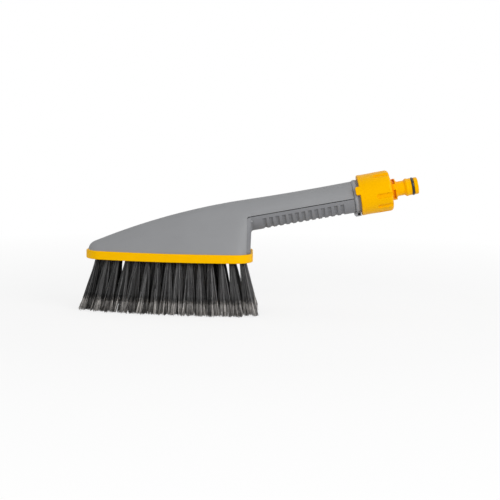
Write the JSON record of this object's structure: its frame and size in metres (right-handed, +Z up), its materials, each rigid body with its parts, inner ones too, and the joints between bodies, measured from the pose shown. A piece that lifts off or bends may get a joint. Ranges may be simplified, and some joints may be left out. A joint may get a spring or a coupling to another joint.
{
  "type": "hose-fed wash brush",
  "caption": "Hand brush fed by a hose, with a tufted head and soft rim, a spray outlet among the bristles, a ribbed grip and a turning flow dial at the hose end.",
  "frame": {"origin": "on the plane that the bristle tips stand on, under the middle of the bounding box", "axes": "+X from the brush head to the hose spigot, +Y across the brush, +Z up from the bristle tips to the back"},
  "size_m": [0.3194, 0.0838, 0.1359],
  "materials": {
    "shell_grey": "satin moulded, fine grain",
    "grip_grey": "satin moulded, slightly darker and bluer than the shell",
    "collar_grey": "satin moulded",
    "pale_grey": "plain moulded",
    "rim_amber": "soft moulded rubber, amber yellow",
    "amber": "semi-gloss moulded, amber yellow",
    "black_plastic": "plain moulded",
    "bristle": "dark filaments with paler split tips",
    "steel": "plain stainless",
    "mesh_steel": "fine woven mesh",
    "seal_black": "smooth sealing rubber",
    "tube_clear": "milky flexible tube",
    "brass": "turned"
  },
  "bodies": {
    "brush": {"main_shell": "shell_grey", "grip_shell": "grip_grey", "end_collar": "collar_grey", "grip_pins": "pale_grey", "bumper_rim": "rim_amber", "hose_spigot": "amber", "brush_plate": "black_plastic", "tufts_front": "bristle", "tufts_middle": "bristle", "tufts_rear": "bristle", "tuft_anchors": "steel", "plate_screws": "steel", "elbow_screws": "steel", "hose_clips": "steel", "spray_rose": "pale_grey", "outlet_elbow": "pale_grey", "valve_body": "pale_grey", "outlet_seal": "seal_black", "valve_seat": "seal_black", "nose_ring": "seal_black", "feed_tube": "tube_clear", "inlet_filter": "mesh_steel"},
    "dial": {"flow_dial": "amber"},
    "shuttle": {"flow_shuttle": "pale_grey", "cam_pins": "brass", "shuttle_rings": "seal_black"}
  },
  "joints": [
    {"name": "dial_turn", "type": "hinge", "parent": "brush", "child": "dial", "pos_m": [0.11782, 0, 0.11474], "axis": [0.9823, 0, 0.1874], "range_deg": [0, 75]},
    {"name": "shuttle_slide", "type": "slide", "parent": "brush", "child": "shuttle", "axis": [0.9823, 0, 0.1874], "range_m": [0, 0.004]}
  ],
  "couplings": [
    {"joint": "shuttle_slide", "follows": "dial_turn", "m_per_rad": 0.0030557}
  ]
}
